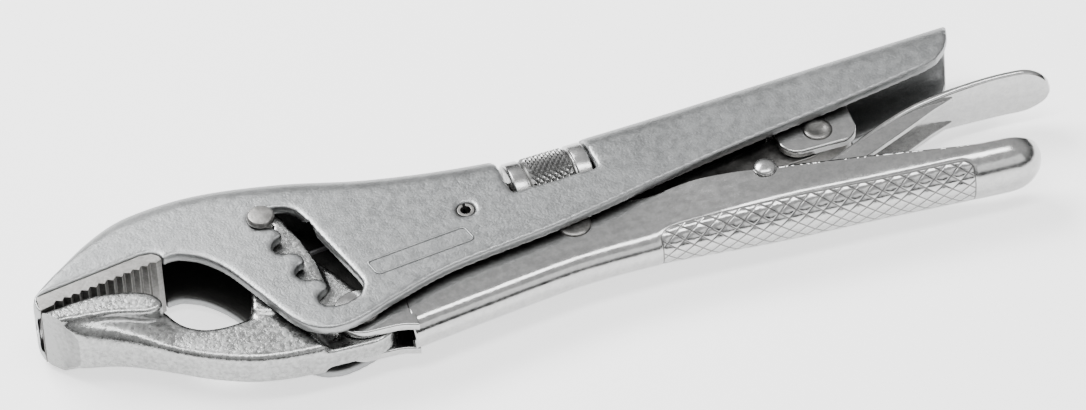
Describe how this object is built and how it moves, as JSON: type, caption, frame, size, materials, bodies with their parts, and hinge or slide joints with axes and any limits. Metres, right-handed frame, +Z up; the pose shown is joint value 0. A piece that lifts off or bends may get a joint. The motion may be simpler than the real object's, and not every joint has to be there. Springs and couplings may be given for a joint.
{
  "type": "locking pliers",
  "caption": "Toggle-locking pliers with a curved lower jaw, a stepped jaw pivot slot, a knurled adjusting nut in the body and a release lever in the handle.",
  "frame": {"origin": "under the middle of the box that the tool fills as it lies on its side, on the surface it lies on", "axes": "+X from the jaws to the handle ends, +Y from the lower handle to the body, +Z up across the tool's width"},
  "size_m": [0.2524, 0.0592, 0.021],
  "materials": {
    "blasted_nickel": "matt satin nickel plate, fine bead-blasted grain",
    "forged_nickel": "nickel plate over a forged surface, soft satin with bright edges",
    "satin_chrome": "smooth bright nickel plate on pressed sheet",
    "bright_chrome": "bright plate on turned parts",
    "plain_steel": "plain steel, lightly oiled",
    "spring_steel": "dark drawn spring wire"
  },
  "bodies": {
    "body": {"body_shell": "blasted_nickel", "upper_jaw_insert": "plain_steel", "spring_pin": "plain_steel", "opening_spring": "spring_steel"},
    "lower_jaw": {"lower_jaw": "forged_nickel", "jaw_pivot_pin": "plain_steel", "jaw_pivot_collar": "plain_steel", "spring_anchor_pin": "plain_steel"},
    "lower_handle": {"lower_handle": "satin_chrome", "hinge_rivet": "plain_steel", "link_rivet": "plain_steel", "lever_rivet": "bright_chrome"},
    "toggle_link": {"toggle_link": "plain_steel"},
    "adjusting_rod": {"adjusting_rod": "plain_steel", "rod_stop_clip": "spring_steel", "yoke": "satin_chrome", "yoke_pin": "bright_chrome"},
    "adjusting_nut": {"adjusting_nut": "bright_chrome"},
    "release_lever": {"release_lever": "satin_chrome"}
  },
  "joints": [
    {"name": "handle_swing", "type": "hinge", "parent": "lower_jaw", "child": "lower_handle", "pos_m": [-0.05308, -0.02047, 0.0104], "axis": [0, 0, 1], "range_deg": [-49.7, 0]},
    {"name": "jaw_swing", "type": "hinge", "parent": "body", "child": "lower_jaw", "pos_m": [-0.06848, 0.01213, 0.0104], "axis": [0, 0, 1], "range_deg": [0, 19.89], "deforming": ["opening_spring"]},
    {"name": "link_swing", "type": "hinge", "parent": "lower_handle", "child": "toggle_link", "pos_m": [0.00202, -0.00987, 0.0104], "axis": [0, 0, 1], "range_deg": [0, 50.69]},
    {"name": "nut_turn", "type": "hinge", "parent": "body", "child": "adjusting_nut", "pos_m": [0.00132, 0.00858, 0.0104], "axis": [0.9976, 0.0698, 0], "range_deg": [0, 721]},
    {"name": "rod_slide", "type": "slide", "parent": "body", "child": "adjusting_rod", "axis": [0.9976, 0.0698, 0], "range_m": [0, 0.0025]},
    {"name": "lever_swing", "type": "hinge", "parent": "lower_handle", "child": "release_lever", "pos_m": [0.04982, -0.00897, 0.0104], "axis": [0, 0, 1], "range_deg": [-8, 0]}
  ],
  "couplings": [
    {"joint": "jaw_swing", "follows": "handle_swing", "ratio": -0.39632},
    {"joint": "link_swing", "follows": "handle_swing", "ratio": -1.0161},
    {"joint": "nut_turn", "follows": "rod_slide", "rad_per_m": 5026.5}
  ]
}
